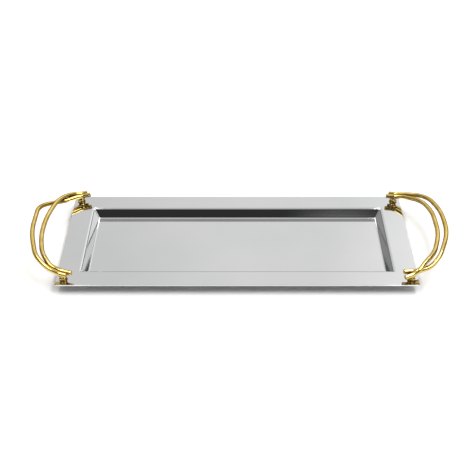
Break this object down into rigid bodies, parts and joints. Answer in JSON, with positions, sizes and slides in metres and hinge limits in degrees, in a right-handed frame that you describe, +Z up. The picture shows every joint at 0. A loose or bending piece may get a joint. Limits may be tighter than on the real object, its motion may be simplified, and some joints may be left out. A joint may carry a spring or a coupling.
{
  "type": "serving tray",
  "caption": "Rectangular steel serving tray with a shallow sloping well and a pair of raised twin-rod brass handles.",
  "frame": {"origin": "centre of the underside of the well floor, where the tray stands", "axes": "+X along the tray towards its right handle, +Y towards its back long edge, +Z up"},
  "size_m": [0.5475, 0.2, 0.0428],
  "materials": {
    "polished_steel": "mirror polished",
    "polished_brass": "polished",
    "fastener_steel": "plain zinc-plated"
  },
  "bodies": {
    "root": {"tray": "polished_steel", "right_inner_rod": "polished_brass", "right_outer_rod": "polished_brass", "left_inner_rod": "polished_brass", "left_outer_rod": "polished_brass", "post_right_front": "polished_brass", "post_right_back": "polished_brass", "post_left_front": "polished_brass", "post_left_back": "polished_brass", "screw_right_front": "fastener_steel", "screw_right_back": "fastener_steel", "screw_left_front": "fastener_steel", "screw_left_back": "fastener_steel", "washer_right_front": "fastener_steel", "washer_right_back": "fastener_steel", "washer_left_front": "fastener_steel", "washer_left_back": "fastener_steel"}
  },
  "joints": []
}
